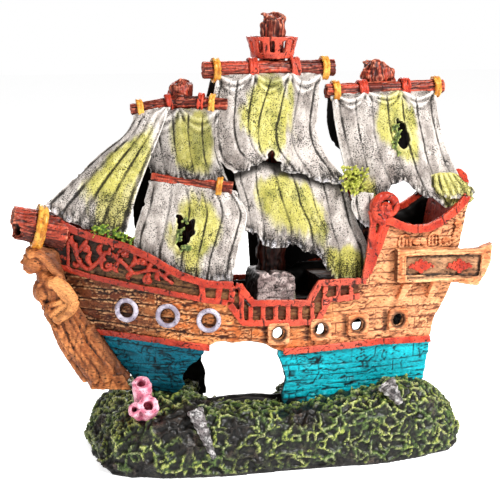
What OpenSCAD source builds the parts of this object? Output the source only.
// Aquarium air ornament: a galleon wreck on a rock base, with an air stone in its hold.
// Bow at -X, stern at +X, port side at -Y, up +Z. The origin is the centre of the base's underside.

/* [Base] */
// Length of the rock base
base_len = 152; // [148:1:160]
// Depth of the rock base
base_depth = 81; // [76:1:84]

/* [Hull] */
// Beam of the hull at its widest station
beam = 54; // [51:0.5:56]
// Thickness of the hull sides
wall = 2.6; // [2:0.1:3]
// Radius of the gun port bores
port_r = 2.4; // [2:0.1:2.8]
// How far the trim stands proud of the planks
trim_proud = 1.3; // [1:0.1:1.6]
// Glue line between bonded pieces
glue = 0.12; // [0.1:0.01:0.2]

/* [Spars] */
// Main mast radius at deck level
main_mast_r = 5.8; // [5.4:0.1:6.6]
// Main yard radius
main_yard_r = 3.4; // [3:0.1:3.8]
// Fore mast radius at deck level
fore_mast_r = 5.2; // [4.8:0.1:5.6]
// Mizzen mast radius at deck level
mizzen_mast_r = 5.6; // [5.3:0.1:6]
// Thickness of the cast sails
sail_t = 2.2; // [1.8:0.1:2.6]

/* [Air parts] */
// Radius of the air stone
stone_r = 5; // [4.6:0.1:5.2]
// Length of the air stone
stone_len = 15; // [13:1:16]
// Radius of the nozzle that the air line pushes onto
nozzle_r = 2.3; // [2.2:0.05:2.5]
// Running clearance between the stone and its socket, on the radius
stone_gap = 0.08; // [0.05:0.01:0.1]

/* [Hidden] */
$fn = 40;

mid_x = -5;         // widest station
bow_break = -45;    // ahead of this the hull stations fan out to the raked stem
stern_break = 45;   // abaft this they fan out to the raked stern
stem_half = 1.2;    // half the thickness of the stem
deck_t = 2;
main_deck_z = 58;
hatch_x = 12;       // the deck hatch and the air stone below it
stone_z = 31;
stone_y0 = -8;

// ---- the hull's form -------------------------------------------------------------------------

function stem_x(z) = lookup(z, [[18, -50.5], [23, -52.2], [36, -63.5], [48.6, -73], [63, -82.5],
                                [75, -88], [84, -91.5], [95, -93.5]]);
function stern_x(z) = lookup(z, [[18, 55], [33, 57], [43.4, 58.6], [48, 57.6], [55.6, 61.3],
                                 [65.6, 67.4], [80.6, 70.2], [102, 75.3]]);
function half_beam(z) = lookup(z, [[18, beam/2 - 4], [44, beam/2], [75, beam/2], [102, beam/2 - 2]]);
// Distance of the hull's skin from the centre plane
function side_y(x, z) =
    let (b = half_beam(z))
    x < mid_x
        ? let (t = min(1, (mid_x - x)/(mid_x - stem_x(z)))) max(stem_half, b*(1 - pow(t, 2.2)))
        : let (t = (x - mid_x)/(stern_x(z) - mid_x)) b*(1 - 0.22*t*t);
// Station coordinate of a point, and back: upright stations amidships, fanned out at both ends
function s_of(x, z) =
    x < bow_break ? bow_break - 30*(bow_break - x)/(bow_break - stem_x(z))
  : x > stern_break ? stern_break + 15*(x - stern_break)/(stern_x(z) - stern_break)
  : x;
function x_of(s, z) =
    s < bow_break ? bow_break - (bow_break - s)/30*(bow_break - stem_x(z))
  : s > stern_break ? stern_break + (s - stern_break)/15*(stern_x(z) - stern_break)
  : s;
function as_stations(line) = [for (p = line) [s_of(p.x, p.y), p.y]];

// Edge lines of the hull as [x, z]: the top of the side, the wale and the ground
top_line = as_stations([[-93.3, 94.2], [-87, 93], [-81.5, 91], [-74.9, 88.6], [-65.3, 86],
                       [-57, 82.6], [-51.3, 79],
    [-43.6, 74.4], [-33.8, 71.2], [-24, 70.8], [-18.5, 63.4], [6.2, 63], [9.6, 70], [27, 70.2],
    [31, 82], [34, 92], [37, 93.6], [39.6, 93], [43.4, 91], [49.6, 89.2], [55.9, 89.4], [62.1, 92],
    [67.5, 95.8], [74.5, 101]]);
wale_line = as_stations([[-71.2, 50.6], [-51.5, 49], [-40.7, 47.4], [-32, 46.6], [-5, 44.4],
    [14.5, 45], [35, 45.8], [58.4, 44.8]]);
function top_z(s) = lookup(s, top_line);
function wale_z(s) = lookup(s, wale_line);
// Lower edge of the planks: ragged over the swim-through
arch_rag = [[-34, 46.6], [-31, 48.6], [-28.5, 49.4], [-24, 48.4], [-20, 49], [-14, 48.5], [-11, 47.6],
            [-8, 45.6], [-5, 44.4]];
function plank_z(s) = (s > -34 && s < -5) ? lookup(s, arch_rag) : wale_z(s);

// Values from a to b in steps of at most d
function steps(a, b, d) = let (n = max(1, ceil(abs(b - a)/d))) [for (i = [0:n - 1]) a + (b - a)*i/n];
// A line with points added so that no step is longer than d along its first coordinate
function refine(v, d) = [for (i = [0:len(v) - 2]) each steps(v[i], v[i + 1], d), v[len(v) - 1]];
// The same for a path of [x, z] points
function refine_path(p, d) = concat(
    [for (i = [0:len(p) - 2])
        let (n = max(1, ceil(norm(p[i + 1] - p[i])/d)))
        each [for (k = [0:n - 1]) p[i] + (p[i + 1] - p[i])*k/n]],
    [p[len(p) - 1]]);
// A repeatable rough number from -1 to 1
function rough(a) = sin(a*157.3 + 40*sin(a*71.9));

// ---- solids ----------------------------------------------------------------------------------

// A solid through a row of closed loops with the same even number of points
module loft(s) {
    n = len(s);
    m = len(s[0]);
    function at(i, k) = i*m + k % m;
    function ladder(i) = [for (k = [0:m/2 - 2]) each
        [[at(i, k), at(i, k + 1), at(i, m - 2 - k)], [at(i, k), at(i, m - 2 - k), at(i, m - 1 - k)]]];
    sides = [for (i = [0:n - 2], k = [0:m - 1]) each
        [[at(i, k), at(i + 1, k), at(i + 1, k + 1)], [at(i, k), at(i + 1, k + 1), at(i, k + 1)]]];
    ends = concat(ladder(0), [for (f = ladder(n - 1)) [f[0], f[2], f[1]]]);
    flat = concat(sides, ends);
    polyhedron([for (p = s) each p], [for (f = flat) [f[0], f[2], f[1]]], convexity = 8);
}

// A piece of the port skin between two edge functions of the station, from depth d0 out to d1
module skin(stations, low, high, d0, d1, rows) {
    loft([for (s = stations) let (z0 = low(s), z1 = high(s)) concat(
        [for (j = [0:rows]) let (z = z0 + (z1 - z0)*j/rows, x = x_of(s, z)) [x, -side_y(x, z) - d1, z]],
        [for (j = [rows:-1:0]) let (z = z0 + (z1 - z0)*j/rows, x = x_of(s, z))
            [x, min(-glue/2, -side_y(x, z) - d0), z]])]);
}

// A bar that follows a path of [x, z] points over the port skin
module ribbon(path, w, d0, d1, step = 5) {
    p = refine_path(path, step);
    n = len(p);
    loft([for (i = [0:n - 1])
        let (t = p[min(i + 1, n - 1)] - p[max(i - 1, 0)], q = [-t.y, t.x]*w/2/norm(t),
             a = p[i] + q, b = p[i] - q)
        [[b.x, -side_y(b.x, b.y) - d1, b.y], [a.x, -side_y(a.x, a.y) - d1, a.y],
         [a.x, -side_y(a.x, a.y) - d0, a.y], [b.x, -side_y(b.x, b.y) - d0, b.y]]]);
}

// A round bar from a to b
module rod(a, b, ra, rb) {
    v = b - a;
    translate(a) rotate([0, acos(v.z/norm(v)), atan2(v.y, v.x)]) cylinder(h = norm(v), r1 = ra, r2 = rb);
}

// Rings of rope wound round the bar from a to b, at distance t along it
module wound(a, b, t, r, rope, turns) {
    v = b - a;
    translate(a + v*t/norm(v)) rotate([0, acos(v.z/norm(v)), atan2(v.y, v.x)])
        for (i = [0:turns - 1]) translate([0, 0, (i - (turns - 1)/2)*rope*2.06])
            rotate_extrude() translate([r + rope + glue, 0]) circle(r = rope, $fn = 16);
}

// Puts a flat shape, drawn facing -Y, on the port skin at [x, z]
module on_side(x, z, lift = glue) {
    turn = atan((side_y(x + 1, z) - side_y(x - 1, z))/2);
    translate([x, -side_y(x, z) - lift, z]) rotate([0, 0, -turn]) rotate([90, 0, 0]) children();
}

module mirrored() { mirror([0, 1, 0]) children(); }
module both_sides() { children(); mirrored() children(); }
// A prism across the ship from an outline of [x, z] points
module across(outline, y0, y1) {
    translate([0, y1, 0]) rotate([90, 0, 0]) linear_extrude(y1 - y0) polygon(outline);
}

// ---- base and what lies on it ----------------------------------------------------------------

function rock_top(x) = lookup(x, [[-77, 12], [-70, 17.5], [-63, 23], [-55, 25], [-35, 24.4],
                                  [-27, 22.4], [-14, 20.6],
                                  [6, 22.8], [27, 26], [46, 29.5], [59, 26], [66, 20], [77, 13]]);
// Corner sharpness of the plan: squarer at the bow than at the stern
function rock_power(c) = c < 0 ? 4.4 : 3.2;
function rock_at(a, k, z) =
    let (c = cos(a), s = sin(a), e = 2/rock_power(c),
         bump = 1 + 0.018*rough(a/17 + z/5) + 0.012*rough(a/9 - z/3),
         x = sign(c)*pow(abs(c), e)*(base_len/2 - (c > 0 ? 1.5 : 0))*k*bump,
         y = sign(s)*pow(abs(s), e)*base_depth/2*k*bump)
    [x, y];
module rock_base() {
    rings = 60;
    levels = [[0, 0.972], [0.22, 0.99], [0.5, 0.985], [0.8, 0.945], [0.97, 0.86], [1.04, 0.72]];
    function ring(l) = [for (i = [0:rings - 1]) let (a = -i*360/rings, q = rock_at(a, l[1], l[0]*20))
        [q.x, q.y, l[0]*(rock_top(q.x) + (l[0] > 0.7 ? 0.8*rough(i*1.7 + l[0]) : 0))]];
    // The floor of the swim-through falls away towards starboard
    fall = [[-11, -38, -5, 20.8], [6, -32, 5, 17.2], [24, -26, 16, 12.4], [50, -21, 22, 5]];
    color("darkolivegreen") difference() {
        loft([for (l = levels) ring(l)]);
        loft([for (f = fall) [[f[2], f[0], 40], [f[1], f[0], 40], [f[1], f[0], f[3]], [f[2], f[0], f[3]]]]);
    }
}

module keel_timber() {
    path = [[-47, 21.4, 1.6], [-38, 22, 2], [-29, 22.5, 2.2], [-20, 23.4, 2], [-13, 23.2, 2.1],
            [-6, 22.2, 2], [2, 23.4, 1.7]];
    color([0.2, 0.15, 0.12]) loft([for (p = path) [for (k = [0:7]) let (a = 12 - k*45)
        [p.x + 0.3*rough(k + p.x), -15 + 3*cos(a), p.y + p[2]*sin(a)]]]);
}

module sponge_tube(base, tip, r) {
    v = tip - base;
    translate(base) rotate([0, acos(v.z/norm(v)), atan2(v.y, v.x)]) difference() {
        cylinder(h = norm(v), r1 = r*1.05, r2 = r);
        translate([0, 0, norm(v)*0.45]) cylinder(h = norm(v), r = r*0.5);
    }
}
module tube_sponge() {
    color("pink") union() {
        sponge_tube([-58.5, -24, 24], [-61.2, -31.5, 36.6], 3.6);
        sponge_tube([-58, -25, 23], [-59, -34.6, 28.6], 3.9);
        sponge_tube([-60, -25, 22], [-64.3, -33.8, 27.2], 2.5);
    }
}

// A turret shell of rings that shrink towards its tip
module turret(a, b, r, whorls) {
    v = b - a;
    h = norm(v)/whorls;
    translate(a) rotate([0, acos(v.z/norm(v)), atan2(v.y, v.x)]) for (i = [0:whorls - 1]) {
        r0 = r*(1 - 0.72*i/whorls);
        r1 = r*(1 - 0.72*(i + 1)/whorls);
        translate([0, 0, i*h]) cylinder(h = h*0.45, r1 = r0*0.9, r2 = r0);
        translate([0, 0, (i + 0.45)*h]) cylinder(h = h*0.55 + 0.01, r1 = r0, r2 = r1*0.9);
    }
}
module auger_shell() { color("white") turret([-41.8, -37, 26.4], [-35.6, -43, 8.4], 3.3, 8); }
module cone_shell() { color("white") turret([35.4, -33.4, 31], [40, -38.4, 23.6], 4, 4); }

// ---- hull ------------------------------------------------------------------------------------

hull_stations = refine(concat([-75], [for (p = top_line) p[0]]), 4);
gun_ports = [[-6.6, 51.8], [10.4, 52.5], [25.9, 53.3], [43.1, 54.1]];
portholes = [[-62.9, 60.9], [-48.2, 59.3], [-33.2, 57.7]];

module hull_side() {
    difference() {
        skin(hull_stations, function (s) plank_z(s), function (s) top_z(s), -wall, 0, 7);
        for (p = gun_ports) translate([p.x, 0, p.y]) rotate([90, 0, 0]) cylinder(h = beam, r = port_r);
        for (p = portholes) on_side(p.x, p.y, -1.1) cylinder(h = 6, r = 2.8);
    }
}
module hull_port() { color("peru") hull_side(); }
module hull_starboard() { color("peru") mirrored() hull_side(); }

// Ends of the blue bottom at the swim-through, per side: the port edge of the bow part is the further forward
module bottom_skin(stations) {
    skin(stations, function (s) 18, function (s) plank_z(s) - glue, -wall, -0.3, 5);
}
bow_end_port = [[-110, 10], [-43.6, 10], [-43.6, 25], [-41, 30], [-42, 33], [-40.2, 38], [-37, 41],
                [-34.5, 44],
                [-34.5, 60], [-110, 60]];
bow_end_starboard = [[-110, 10], [-25.8, 10], [-25.6, 26], [-27, 31], [-26.4, 36], [-28.4, 41], [-29, 60],
                      [-110, 60]];
module bottom_bow() {
    fore = refine([-75, -34.5], 4);
    fore_long = refine([-75, -34.5, -21.5], 4);
    color("teal") {
        intersection() { bottom_skin(fore); across(bow_end_port, -40, 0); }
        intersection() { mirrored() bottom_skin(fore_long); across(bow_end_starboard, 0, 40); }
    }
}
stern_end_port = [[-3.7, 10], [-3.7, 29], [-2.6, 33], [-4.6, 39], [-6.5, 43], [-7, 60], [80, 60], [80, 10]];
stern_end_starboard = [[19, 10], [20.5, 24], [18, 30], [20, 36], [17.5, 41], [16.5, 60], [80, 60],
                       [80, 10]];
missing_plank = [[23, 37.6], [25, 43], [50, 43.6], [51, 39], [47, 37.8], [36, 38.4]];
module bottom_stern() {
    aft = refine([-7, 45, 60], 4);
    aft_short = refine([16, 45, 60], 4);
    color("darkturquoise") {
        intersection() { bottom_skin(aft); across(stern_end_port, -40, 0); }
        difference() {
            intersection() { mirrored() bottom_skin(aft_short); across(stern_end_starboard, 0, 40); }
            across(missing_plank, 10, 40);
        }
        loft([for (z = [18, 26, 34, 43.2]) let (x = stern_x(z), y = side_y(x, z) - wall - glue)
            [[x - 3, -y, z], [x - 3, y, z], [x, y, z], [x, -y, z]]]);
    }
}

wale_h = 2.6;
module wale() {
    function at(s0, s1) = refine([s0, s1], 5);
    for (run = [[-74.6, -33], [-4.5, 59.8]])
        skin(at(run[0], run[1]), function (s) wale_z(s) - wale_h/2, function (s) wale_z(s) + wale_h/2,
             glue, trim_proud, 1);
}
module wale_port() { color("firebrick") wale(); }
module wale_starboard() { color("firebrick") mirrored() wale(); }

// Outline of a deck inside the hull sides at height z, from x0 to x1
function deck_outline(z, x0, x1) =
    let (xs = refine([x0, x1], 6), inset = wall + glue*2,
         half = [for (x = xs) [x, max(0.4, side_y(x, z) - inset)]])
    concat([for (p = half) [p.x, -p.y]], [for (i = [len(half) - 1:-1:0]) half[i]]);
module deck(z, x0, x1) {
    translate([0, 0, z - deck_t]) linear_extrude(deck_t) polygon(deck_outline(z, x0, x1));
}
module main_deck() {
    color("saddlebrown") difference() {
        deck(main_deck_z, -26, 56);
        translate([hatch_x - 4.6, -6, main_deck_z - 3]) cube([9.2, 13, 4]);
    }
}
module forecastle_deck() {
    color("saddlebrown") difference() {
        deck(69, -74, -26.5);
        translate([-38.5, 0, 60]) cylinder(h = 20, r = fore_mast_r + glue);
    }
}
module poop_deck() {
    color("saddlebrown") difference() {
        deck(67, 19, 63);
        translate([41, 0, 60]) cylinder(h = 20, r = mizzen_mast_r + glue);
    }
}
// The wall across the ship under the poop, with a doorway that fish can use
module poop_bulkhead() {
    half = side_y(20, 62) - wall - glue*2;
    color("saddlebrown") difference() {
        translate([20, -half, main_deck_z + glue]) cube([2.4, 2*half, 67 - deck_t - main_deck_z - 2*glue]);
        translate([15, -5, main_deck_z - 1]) cube([12, 10, 5]);
    }
}

module transom() {
    color("peru") loft([for (z = [44, 48, 55.6, 60, 65.6, 73, 80.6, 88, 94, 99])
        let (x = stern_x(z), y = side_y(x, z) - wall - glue*2)
        [[x - 2.8, -y, z], [x - 2.8, y, z], [x, y, z], [x, -y, z]]]);
}

// Curved board inside the top of the stern
module taffrail() {
    half = 16;
    color("tomato") loft([for (y = steps(-half, half + 0.01, 4)) let (c = 1 - pow(y/half, 2), z1 = 99 + 4.5*c)
        [[stern_x(85) - 5, y, 84], [stern_x(85) - 3.1, y, 84],
         [stern_x(z1) - 3.1, y, z1], [stern_x(z1) - 5.4, y, z1]]]);
}
module taffrail_knob() { color("indianred") rod([73.8, 4, 102.4], [77.4, -3.2, 107.2], 3.4, 4.2); }

// ---- rails and carving -----------------------------------------------------------------------

bow_rail_top = [[-87.4, 94.6], [-81.5, 91.5], [-74.9, 89.2], [-65.3, 86.8], [-57, 83.2], [-51.3, 79.8],
                [-43.6, 75.2], [-33.8, 72], [-24.2, 71.4]];
bow_rail_low = [[-87.6, 77], [-76.4, 73.8], [-62, 70.9], [-44.3, 67.6], [-34.5, 65.6], [-26.5, 64.6]];
module bow_rail() {
    ribbon(bow_rail_top, 2.8, glue, trim_proud + 0.4);
    ribbon(bow_rail_low, 2.2, glue, trim_proud);
    ribbon([[-84.4, 77], [-84.3, 91.4]], 1.2, glue, 1);
    for (post = [[[-35.8, 66], [-36, 71.6]], [[-29.9, 65.5], [-29.4, 71]]])
        ribbon(post, 2.2, glue, trim_proud);
    ribbon([[-24.6, 71], [-25, 64.8]], 2.2, glue, trim_proud);
}
module bow_rail_port() { color("tomato") bow_rail(); }
module bow_rail_starboard() { color("tomato") mirrored() bow_rail(); }

waist_top = [[-23.4, 71.2], [-21.9, 71], [-16.8, 64.3], [5.2, 63.3], [10, 70.9], [29, 70.8]];
waist_low = [[-25.6, 63.9], [-20.4, 56.4], [9, 55.4], [13.8, 64], [26.6, 64.6]];
waist_posts = 6;
module waist_rail() {
    ribbon(waist_top, 2.6, glue, trim_proud + 0.4);
    ribbon(waist_low, 2.4, glue, trim_proud);
    for (i = [0:waist_posts - 1]) {
        x = -17.6 + i*24.6/(waist_posts - 1);
        ribbon([[x, 56.8], [x, 63]], 1.7, glue, trim_proud);
    }
    ribbon([[-21, 58], [-21.2, 69.6]], 1.8, glue, trim_proud);
    ribbon([[11.6, 60.4], [12.4, 70]], 1.8, glue, trim_proud);
    for (x = [17.6, 23]) ribbon([[x, 65], [x, 70]], 1.7, glue, trim_proud);
}
module waist_rail_port() { color("tomato") waist_rail(); }
module waist_rail_starboard() { color("tomato") mirrored() waist_rail(); }

// An arc of [x, z] points about c, from angle a to b
function arc(c, r, a, b, n = 8) = [for (i = [0:n]) let (t = a + (b - a)*i/n) c + r*[cos(t), sin(t)]];
module vine() {
    stem = [[-81.6, 86.2], [-80.6, 81.9], [-78.8, 77.9], [-76.3, 76.9], [-73.4, 80.2], [-70.2, 84.3],
            [-66.3, 81],
            [-62.7, 78.3], [-60.3, 75.8], [-56, 77], [-51.6, 76.7], [-49.7, 74], [-47.4, 72]];
    sprigs = [[[-80.6, 81.9], [-82.6, 84.6]], [[-80.6, 82.6], [-78, 84.6], [-77, 87.4]],
              [[-76, 84.2], [-71.6, 85.9], [-69.6, 84.6]],
              [[-60.9, 83.4], [-59.8, 81], [-57.6, 77]], [[-67, 76], [-64.1, 77], [-60.9, 75.6]],
              [[-60.3, 75.6], [-58.4, 74], [-56.2, 73.6]], [[-55.4, 74.2], [-53.3, 75.4], [-51.4, 76.2]],
              [[-51.9, 80.6], [-50.4, 80], [-49.9, 78], [-51.2, 76.8]]];
    ribbon(stem, 1.5, glue, 1, 3);
    for (p = sprigs) ribbon(p, 1.3, glue, 1.1, 3);
    ribbon(arc([-69.9, 78.9], 2.3, 95, 340), 1.2, glue, 1, 3);
    ribbon(arc([-63.8, 83.4], 2.1, 250, -60), 1.2, glue, 1, 3);
    for (b = [[-81.8, 86.6], [-69.4, 78.5], [-63.6, 83.2], [-46.9, 73.4]])
        on_side(b.x, b.y) cylinder(h = 1.1, r = 1.2);
}
module vine_port() { color("tomato") vine(); }
module vine_starboard() { color("tomato") mirrored() vine(); }

// Scroll at the fore end of the stern castle, its struts and the cap rail that sweeps aft
volute_c = [37.6, 99.4];
volute_r = 7;
module stern_scroll_side() {
    y_out = side_y(38, 90) + 1.7;
    turn = [for (i = [0:34]) let (a = -100 - i*15, r = volute_r*(1 - 0.0215*i))
        volute_c + (r - 1.1)*[cos(a), sin(a)]];
    translate([0, -y_out, 0]) rotate([-90, 0, 0]) mirror([0, 1, 0]) {
        linear_extrude(3.4) {
            for (i = [0:len(turn) - 2]) translate(turn[i]) circle(r = 1.25*(1 - 0.008*i), $fn = 16);
            for (i = [0:len(turn) - 2]) {
                d = turn[i + 1] - turn[i];
                translate(turn[i]) rotate(atan2(d.y, d.x)) translate([0, -1.15]) square([norm(d), 2.3]);
            }
            translate(volute_c) circle(r = 1.9);
        }
    }
    ribbon([[31.4, 98], [32.2, 93.6], [30.9, 84], [29.4, 76], [28.6, 71.6]], 2.6, glue, 1.7);
    ribbon([[38.4, 92.6], [35.6, 85.6], [32.8, 79.2], [30.4, 73.4]], 2, glue, 1.4);
    ribbon([[36.6, 94], [39.6, 93.6], [43.4, 91.8], [49.6, 90], [55.9, 90.2], [62.1, 92.8], [67.5, 96.6],
            [71.2, 100], [72.8, 102.4]], 3.2, glue, 2.4, 4);
}
module stern_scroll_port() { color("tomato") stern_scroll_side(); }
module stern_scroll_starboard() { color("tomato") mirrored() stern_scroll_side(); }

// Raised window arches and lattice above the gallery
module tracery() {
    for (x = [45.6, 58.6]) {
        ribbon(concat([[x - 2.4, 83.6]], arc([x, 85.6], 2.4, 180, 0, 8), [[x + 2.4, 83.6]]), 0.9, glue, 1, 2);
        for (dx = [-0.8, 0.8]) ribbon([[x + dx, 83.6], [x + dx, 87.2]], 0.5, glue, 0.8, 3);
    }
    for (x = [50.4, 53.6, 63.4]) on_side(x, 85) cylinder(h = 1, r = 1.4);
    for (x = [52, 65.6]) ribbon([[x, 83.6], [x, 85.6]], 0.8, glue, 0.9, 3);
    ribbon([[66.6, 84.6], [68.4, 88.4], [70, 92]], 1.6, glue, 1, 3);
    on_side(69, 91) cylinder(h = 1.2, r = 1.5);
}
module tracery_port() { color("sandybrown") tracery(); }
module tracery_starboard() { color("sandybrown") mirrored() tracery(); }

// A bar that follows a path of [y, z] points over the after face of the transom
module stern_bar(path, w, d) {
    n = len(path);
    loft([for (i = [0:n - 1])
        let (t = path[min(i + 1, n - 1)] - path[max(i - 1, 0)], q = [-t.y, t.x]*w/2/norm(t),
             a = path[i] + q, b = path[i] - q)
        [[stern_x(a.y) + glue, a.x, a.y], [stern_x(b.y) + glue, b.x, b.y],
         [stern_x(b.y) + d, b.x, b.y], [stern_x(a.y) + d, a.x, a.y]]]);
}
// Three arched windows over four chase-port frames
module stern_windows() {
    color("sandybrown") {
        for (w = [[-10.4, 87, 2.9], [0, 88, 3.6], [10.4, 87, 2.9]]) {
            sill = w[1] - 2.4;
            stern_bar(concat([[w[0] - w[2], sill]], arc([w[0], w[1] + 2], w[2], 180, 0, 8),
                             [[w[0] + w[2], sill]]), 1, 1.1);
            stern_bar([[w[0] - w[2] - 1.2, sill], [w[0] + w[2] + 1.2, sill]], 1, 1.4);
            stern_bar([[w[0], sill], [w[0], w[1] + 2 + w[2]]], 0.7, 0.9);
        }
        for (y = [-12.8, -4.4, 4.4, 12.8]) {
            stern_bar([[y - 2.2, 57.4], [y - 2.2, 63], [y + 2.2, 63], [y + 2.2, 57.4]], 1, 1);
            stern_bar([[y - 3.2, 57.4], [y + 3.2, 57.4]], 1, 1.3);
        }
    }
}

gallery_y = side_y(42, 76) + 4.6;
gallery_outline = [[41, 69.6], [41, 83], [70, 81.8], [76, 82.2], [80.8, 84], [80.4, 77], [78.6, 72],
                   [75, 67],
                   [66, 68.6], [56, 69.4]];
gallery_panel = [[44, 72.4], [44, 80.4], [76.6, 79.4], [75.6, 70.8], [62, 71.8]];
module stern_gallery() {
    hull_zone = concat([for (x = refine([38, 71.2], 5)) [x, -side_y(x, 76) - 0.5]],
                       [for (x = refine([71.2, 38], 5)) [x, side_y(x, 76) + 0.5]]);
    color("sandybrown") difference() {
        across(gallery_outline, -gallery_y, gallery_y);
        translate([0, 0, 60]) linear_extrude(30) polygon(hull_zone);
        for (y = [-gallery_y - 5, gallery_y - 1.1]) across(gallery_panel, y, y + 6.1);
        translate([79.6, -gallery_y + 4, 73]) cube([5, 2*gallery_y - 8, 7]);
        // Open walk across the stern, between the two side walls
        translate([66, -gallery_y + 4, 77]) cube([20, 2*gallery_y - 8, 10]);
    }
}
module bracket(x0) {
    across([[x0 - 2.2, 62.4], [x0 - 0.4, 62.2], [x0 + 4.6, 68.9], [x0 + 0.4, 69.1]],
           -side_y(x0, 66) - 3.6, -side_y(x0, 66) - 0.4);
}
module gallery_brackets() { color("sandybrown") both_sides() { bracket(44); bracket(57); } }

// A flat flower with leaves to left and right
module crest() {
    linear_extrude(1) {
        circle(r = 1.3);
        for (a = [30:60:330]) translate(2*[cos(a), sin(a)]) circle(r = 0.95);
        for (m = [-1, 1]) for (i = [0:2]) 
            translate([m*(2.9 + i*0.9), (i % 2)*0.8 - 0.4]) circle(r = 0.95 - i*0.17);
    }
}
module gallery_crests() {
    color("tomato") both_sides() for (x = [51, 67])
        translate([x, -gallery_y + 1.1 - glue, 76 - (x - 51)*0.04]) rotate([90, 0, 0]) crest();
}

module porthole_rings() {
    color("lightsteelblue") both_sides() for (p = portholes) on_side(p.x, p.y)
        translate([0, 0, 0.95]) rotate_extrude() translate([3.85, 0]) circle(r = 0.95);
}
module gun_port_frames() {
    module frame() {
        linear_extrude(1.6) difference() {
            union() {
                for (v = [[8.6, 6.2], [6.2, 8.6]]) square(v, center = true);
                for (x = [-3.1, 3.1], y = [-3.1, 3.1]) translate([x, y]) circle(r = 1.2);
            }
            circle(r = port_r + 0.15);
        }
    }
    color("sandybrown") both_sides() for (p = gun_ports) on_side(p.x, p.y, 0.2) frame();
}

// ---- figurehead and spars --------------------------------------------------------------------

// A robed figure that leans back against the stem's knee, on a small plinth
module figurehead() {
    // height, centre x, half width along x, half width across
    rings = [[31, -71.4, 6, 5.4], [36, -74, 7.2, 6.2], [41.5, -78.2, 6.9, 6.2], [48, -82.2, 6.4, 6],
             [55, -85.3, 5.8, 5.6], [60, -87.2, 5.2, 5.6], [64, -88.6, 5.2, 6.2], [68.5, -90, 5.4, 6.6],
             [72.6, -91.8, 4.6, 5.8], [75.6, -93.2, 2.8, 3]];
    knee = [[-70, 33], [-80, 50], [-87, 68], [-90.6, 82], [-87.6, 82], [-84.4, 68], [-76, 54], [-65.6, 38],
            [-62.6, 32]];
    elbow = [-83.4, -7.4, 63.6];
    color("sandybrown") union() {
        loft([for (r = rings) [for (k = [0:11])
            let (a = 360 - k*30) [r[1] + r[2]*cos(a), r[3]*sin(a), r[0]]]]);
        translate([-96.8, 0, 79.4]) sphere(r = 4.7);
        translate([-91.8, 0, 80]) sphere(r = 5.2);
        both_sides() {
            rod([-90.4, -5.6, 72.6], elbow, 2.6, 2.3);
            rod(elbow, [-92, -5, 58.4], 2.2, 1.8);
            translate(elbow) sphere(r = 2.45);
        }
        across(knee, -2.6, 2.6);
        across([[-76.6, 28.4], [-76.6, 33], [-64, 33.6], [-60.6, 27.2]], -6.4, 6.4);
    }
}

bowsprit_a = [-84.6, 0, 90.4];
bowsprit_b = [-105.4, 0, 95];
module bowsprit() {
    color("brown") difference() {
        rod(bowsprit_a, bowsprit_b, 7.2, 6.2);
        translate([-107.6, 4, 91.8]) rotate([90, 0, 20]) cylinder(h = 22, r = 3.2, center = true);
        translate([-108.4, 0, 86]) rotate([0, 24, 0]) cube([5, 20, 8], center = true);
    }
}
module bowsprit_lashing() {
    color("goldenrod") wound(bowsprit_a, bowsprit_b, 10.4, 6.75, 1, 2);
}

main_a = [-2.3, 0, main_deck_z + 0.1];
main_b = [-1.8, 0, 174];
module broken_top(at, r) {
    translate(at) rotate([18, 0, 0]) translate([-r*2, -r*2, -1.2]) cube([r*4, r*4, 8]);
    translate([at.x - r*1.25, at.y, at.z - 2]) rotate([0, 40, 0]) cube([r, r*4, r], center = true);
}
module main_mast() {
    r = main_yard_r + glue;
    color("brown") difference() {
        rod(main_a, main_b, main_mast_r, 4.9);
        broken_top(main_b, 5);
        rod(main_yard_a, main_yard_b, r, r);
    }
}
fore_a = [-38.5, 0, 62];
fore_b = [-38.2, 0, 148.4];
module fore_mast() {
    color("brown") difference() {
        rod(fore_a, fore_b, fore_mast_r, 4.2);
        broken_top(fore_b, 4.4);
        fore_top_log(glue);
        rod(fore_low_a, fore_low_b, 2.3 + glue, 2.6 + glue);
    }
}
mizzen_a = [41, 0, 62];
mizzen_b = [41, 0, 154.8];
module mizzen_mast() {
    color("brown") difference() {
        rod(mizzen_a, mizzen_b, mizzen_mast_r, 5.2);
        broken_top(mizzen_b, 5.4);
        rod(mizzen_yard_a, mizzen_yard_b, 2.9 + glue, 2.9 + glue);
    }
}
// Rough stone that steadies the foot of the main mast
module mast_block() {
    outline = [[-11.2, 58.2], [-10.8, 70], [-9.8, 72], [-6.4, 72.6], [-5.6, 71.4], [-4.2, 72.8],
               [1.2, 72.4],
               [4.6, 70.4], [5, 58.2]];
    color("rosybrown") difference() {
        across(outline, -11.4, 8.4);
        translate([0, 0, main_deck_z - 0.5])
            rod([-2.3, 0, 0], [-2.3, 0, 20], main_mast_r + glue, main_mast_r + glue);
    }
}
module crows_nest() {
    color("firebrick") translate([-2, 0, 156.4]) difference() {
        rotate_extrude() polygon([[5.02, 0], [8.2, 0], [10.2, 8.4], [9, 8.4], [7.2, 1.6], [5.02, 1.6]]);
        for (a = [15:30:345]) rotate([0, 0, a]) translate([5, -1, 2.4]) cube([8, 2, 4.6]);
    }
}

// Ends of the yards, which are let into the masts' port side
fore_top_a = [-59.2, -4, 137.4];
fore_top_m = [-40, -5.4, 140.5];
fore_top_b = [-22.6, -11.5, 139.1];
fore_low_a = [-52, -7, 111.6];
fore_low_b = [-21.8, -15.6, 107.4];
main_yard_a = [-31.2, -5.6, 152.2];
main_yard_b = [21.8, -5.6, 152.7];
mizzen_yard_a = [18.4, -5.8, 143.4];
mizzen_yard_b = [67.4, -5.8, 144.7];
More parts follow.
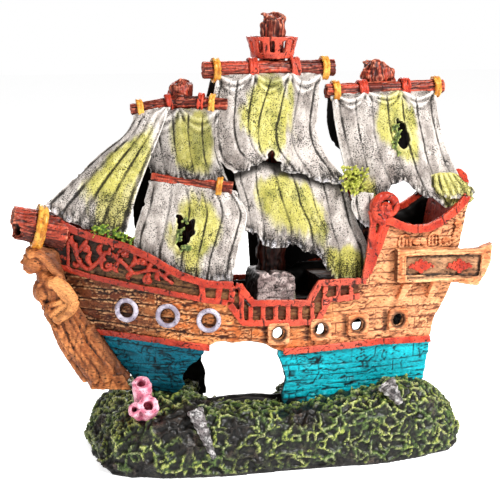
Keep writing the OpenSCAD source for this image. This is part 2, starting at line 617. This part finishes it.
// The crooked log of the fore topsail yard, grown by g
module fore_top_log(g = 0) {
    rod(fore_top_a, fore_top_m, 2.2 + g, 2.5 + g);
    translate(fore_top_m) sphere(r = 3.4 + g);
    rod(fore_top_m, fore_top_b, 2.5 + g, 2.7 + g);
}
module fore_topsail_yard() { color("firebrick") fore_top_log(); }
module fore_course_yard() { color("firebrick") rod(fore_low_a, fore_low_b, 2, 2.6); }
module main_yard() { color("firebrick") rod(main_yard_a, main_yard_b, main_yard_r, main_yard_r*0.95); }
module mizzen_yard() { color("firebrick") rod(mizzen_yard_a, mizzen_yard_b, 2.9, 2.8); }
module yard_lashings() {
    color("goldenrod") {
        wound(main_yard_a, main_yard_b, 5, main_yard_r, 0.7, 2);
        wound(main_yard_a, main_yard_b, 48.8, main_yard_r, 0.7, 2);
        wound(fore_top_a, fore_top_m, 3.6, 2.3, 0.6, 2);
        wound(fore_top_m, fore_top_b, 12.4, 2.7, 0.6, 2);
        wound(fore_low_a, fore_low_b, 26.6, 2.6, 0.6, 2);
        wound(mizzen_yard_a, mizzen_yard_b, 3.8, 2.9, 0.7, 2);
        wound(mizzen_yard_a, mizzen_yard_b, 45.9, 2.9, 0.7, 2);
    }
}
module yard_bands() {
    color("orangered") {
        wound(main_yard_a, main_yard_b, 19.6, main_yard_r, 0.6, 3);
        wound(main_yard_a, main_yard_b, 36.5, main_yard_r, 0.6, 3);
        wound(fore_top_a, fore_top_m, 14.8, 2.5, 0.6, 2);
        wound(fore_top_m, fore_top_b, 8, 2.6, 0.6, 2);
        wound(mizzen_yard_a, mizzen_yard_b, 14.8, 2.9, 0.6, 3);
        wound(mizzen_yard_a, mizzen_yard_b, 32.6, 2.9, 0.6, 3);
    }
}

// ---- sails -----------------------------------------------------------------------------------

// A path of points as a function of 0..1
function along(p, u) =
    let (n = len(p) - 1, t = min(max(u, 0), 1)*n, i = min(floor(t), n - 1)) p[i] + (p[i + 1] - p[i])*(t - i);
// A cast sheet stretched between its left edge, right edge and foot, paths of [x, y, z] points,
// with a straight head. It is bellied by b towards -Y, and its foot is torn by up to rag.
module sail(left, right, foot, b, rag, cols = 22, rows = 8) {
    head = [left[0], right[0]];
    corners = [left[0], right[0], foot[0], foot[len(foot) - 1]];
    function across_at(u, v) = (1 - u)*along(left, v) + u*along(right, v);
    function down_at(u, v) = (1 - v)*along(head, u) + v*along(foot, u);
    function flat_at(u, v) =
        (1 - v)*((1 - u)*corners[0] + u*corners[1]) + v*((1 - u)*corners[2] + u*corners[3]);
    function mid(u, v) = across_at(u, v) + down_at(u, v) - flat_at(u, v)
        + [0, -b*sin(u*180)*pow(sin(pow(v, 0.75)*180), 0.6), rag*(0.5 + 0.5*rough(u*cols*0.83))*v*v*v];
    loft([for (i = [0:cols]) concat(
        [for (j = [0:rows]) mid(i/cols, j/rows) + [0, sail_t/2, 0]],
        [for (j = [rows:-1:0]) mid(i/cols, j/rows) - [0, sail_t/2, 0]])]);
}

module jib() {
    color("lightgray") sail(
        [[-57.8, -4.6, 135.6], [-62, -4.6, 128], [-70.4, -4.5, 121.8], [-78.4, -4.3, 115],
         [-85.8, -3.9, 108.2], [-93.6, -3.4, 102]],
        [[-44.6, -9.8, 138.6], [-48, -12.4, 131], [-51.5, -13.4, 122.6], [-54.6, -13.8, 115],
         [-58.2, -13.4, 105], [-62.4, -11.4, 88]],
        [[-93.6, -3.4, 102], [-87, -4.6, 95.6], [-74.6, -8, 89.6], [-62.4, -11.4, 87]], 2.6, 0.6, 16, 9);
}
module fore_topsail() {
    color("lightgray") sail(
        [[-57.6, -4.4, 136.2], [-56, -5.4, 128], [-54, -6.4, 119], [-52.7, -7, 113]],
        [[-24.4, -11, 137.6], [-26.4, -11, 128], [-26, -12.6, 119], [-22.6, -15.4, 109]],
        [[-52.7, -7, 113], [-38, -11.6, 110.6], [-22.6, -15.4, 109]], 4.4, 0);
}
module fore_course() {
    torn = [[-43.4, 97.4], [-40.3, 94.8], [-37.3, 95.6], [-37.8, 90.8], [-40.6, 87.4], [-42.6, 84],
            [-43.9, 86.6],
            [-43, 91]];
    color("lightgray") difference() {
        sail([[-53, -7, 110.4], [-57, -9, 99], [-60, -10.8, 91], [-60.4, -11.8, 84.6]],
             [[-20.4, -15.8, 106.4], [-15.8, -16, 98], [-17, -16.6, 90], [-20, -17.6, 82], [-23, -21, 70]],
             [[-60.4, -11.8, 84.6], [-51, -15.6, 78.4], [-40, -19.6, 72.8], [-34, -20.6, 70.4],
              [-23, -21, 70]],
             3.4, 1, 22, 9);
        across(torn, -40, 0);
    }
}
module main_topsail() {
    color("lightgray") sail(
        [[-26.6, -7.4, 150], [-28.8, -9, 140], [-29.6, -10.6, 129], [-27.6, -12.6, 118.4], [-20, -14, 112]],
        [[17, -7.4, 150.2], [15, -9, 139], [13.8, -10.8, 129], [17, -12.8, 119], [27, -14, 107]],
        [[-20, -14, 112], [-13, -14.6, 114.2], [-7, -15, 117.4], [-4, -15, 113.6], [6.2, -15, 111.2],
         [14.4, -14.6, 108], [27, -14, 107]], 5, 2.6, 28, 8);
}
module main_course() {
    color("lightgray") sail(
        [[-21, -9.4, 118], [-20.4, -11, 110], [-18.4, -13, 101], [-16.8, -15, 88.4]],
        [[24, -10, 111], [26.6, -12.6, 103], [29, -15.4, 93], [33, -18.6, 82], [33, -21, 67]],
        [[-16.8, -15, 88.4], [-12.5, -15.6, 88], [-9.7, -16.2, 84], [-0.3, -17, 83.4], [5.8, -18, 81.4],
         [12.6, -19, 78.4], [15.6, -19.6, 71.6], [19, -20.4, 66.6], [26, -21, 66.6],
             [33, -21, 67]], 3, 2.4, 30, 9);
}
module mizzen_sail() {
    torn = [[44.9, 132.6], [48.7, 130.1], [50.5, 124.2], [47.2, 120.6], [43.4, 124.8], [46, 128]];
    color("lightgray") difference() {
        sail([[19.6, -7.4, 141.8], [20.4, -9.4, 131], [22.4, -12, 119], [24.6, -14.6, 108],
             [28.6, -17.6, 94]],
             [[64.4, -7.4, 143], [65.2, -9.4, 131], [68, -12, 119.4], [72.4, -14.6, 109],
              [79.4, -16.4, 98.6]],
             [[28.6, -17.6, 94], [37.2, -18, 89.4], [38.4, -17.6, 98], [41.6, -17, 104.6],
              [47.6, -16.6, 107.6],
              [52.7, -16.6, 103.6], [59.2, -17, 100.4], [65.7, -17.4, 96.6], [72, -17.4, 97.4],
                  [79.4, -16.4, 98.6]],
             4, 1.2, 30, 10);
        across(torn, -40, 0);
    }
}
// The far side's sails hang behind the yards and bell out to starboard
module fore_sail_starboard() {
    color("dimgray") mirrored() sail(
        [[-57, 0.6, 137.4], [-57.6, -5, 122], [-57, -10, 106], [-56, -12.4, 90], [-53, -14.4, 80]],
        [[-25, 7, 138.6], [-22, -3, 122], [-20, -9, 106], [-21, -14, 90], [-24, -20.6, 73.6]],
        [[-53, -14.4, 80], [-44, -18, 77], [-35, -20.4, 73], [-24, -20.6, 72]], 4, 1.6);
}
module main_sail_starboard() {
    color("dimgray") mirrored() sail(
        [[-27, 1.6, 151.6], [-29, -5, 132], [-22, -11, 110], [-10, -15, 92], [-6.6, -19, 70]],
        [[17, 1.6, 152], [15, -5, 132], [21, -11, 110], [27, -16, 92], [27, -20, 72]],
        [[-6.6, -19, 70], [6, -20.6, 67], [16, -20.6, 70], [27, -20, 72]], 4, 2);
}
module mizzen_sail_starboard() {
    color("dimgray") mirrored() sail(
        [[20, 2.2, 143], [21.6, -4, 130], [27, -9.6, 120], [41, -12.6, 113.6], [61, -14, 111]],
        [[63.6, 2.2, 144], [65, -4, 130], [69, -9, 118], [74, -12, 109], [73, -13.6, 101]],
        [[61, -14, 111], [66, -14, 104.6], [73, -13.6, 101]], 3, 1.2);
}

// ---- air parts -------------------------------------------------------------------------------

stone_y1 = stone_y0 + stone_len;
cap_len = 3;
nozzle_y1 = 36.5;
// Lies along +Y: origin at the axis
module lying(y) { translate([hatch_x, y, stone_z]) rotate([-90, 0, 0]) children(); }
module stone_socket() {
    socket_len = 7;
    y0 = stone_y1 - socket_len;
    color("dimgray") difference() {
        union() {
            lying(y0) cylinder(h = socket_len, r = stone_r + stone_gap + 1.8);
            translate([hatch_x - 5.6, y0, 18]) cube([11.2, socket_len, stone_z - 18]);
        }
        lying(y0 - 1) cylinder(h = socket_len + 2, r = stone_r + stone_gap);
    }
}
module air_stone() { color("lightsteelblue") lying(stone_y0) cylinder(h = stone_len, r = stone_r); }
module air_nozzle() {
    color("white") union() {
        lying(stone_y1 + glue) cylinder(h = cap_len, r = stone_r - 0.2);
        lying(stone_y1 + glue + cap_len - 0.1) cylinder(h = nozzle_y1 - stone_y1 - cap_len, r = nozzle_r);
    }
}

rock_base();
keel_timber();
tube_sponge();
auger_shell();
cone_shell();
hull_port();
hull_starboard();
bottom_bow();
bottom_stern();
wale_port();
wale_starboard();
main_deck();
forecastle_deck();
poop_deck();
poop_bulkhead();
transom();
taffrail();
taffrail_knob();
bow_rail_port();
bow_rail_starboard();
waist_rail_port();
waist_rail_starboard();
vine_port();
vine_starboard();
stern_scroll_port();
stern_scroll_starboard();
tracery_port();
tracery_starboard();
stern_windows();
stern_gallery();
gallery_brackets();
gallery_crests();
porthole_rings();
gun_port_frames();
figurehead();
bowsprit();
bowsprit_lashing();
fore_mast();
main_mast();
mizzen_mast();
mast_block();
crows_nest();
fore_topsail_yard();
fore_course_yard();
main_yard();
mizzen_yard();
yard_lashings();
yard_bands();
jib();
fore_topsail();
fore_course();
main_topsail();
main_course();
mizzen_sail();
fore_sail_starboard();
main_sail_starboard();
mizzen_sail_starboard();
stone_socket();
air_stone();
air_nozzle();
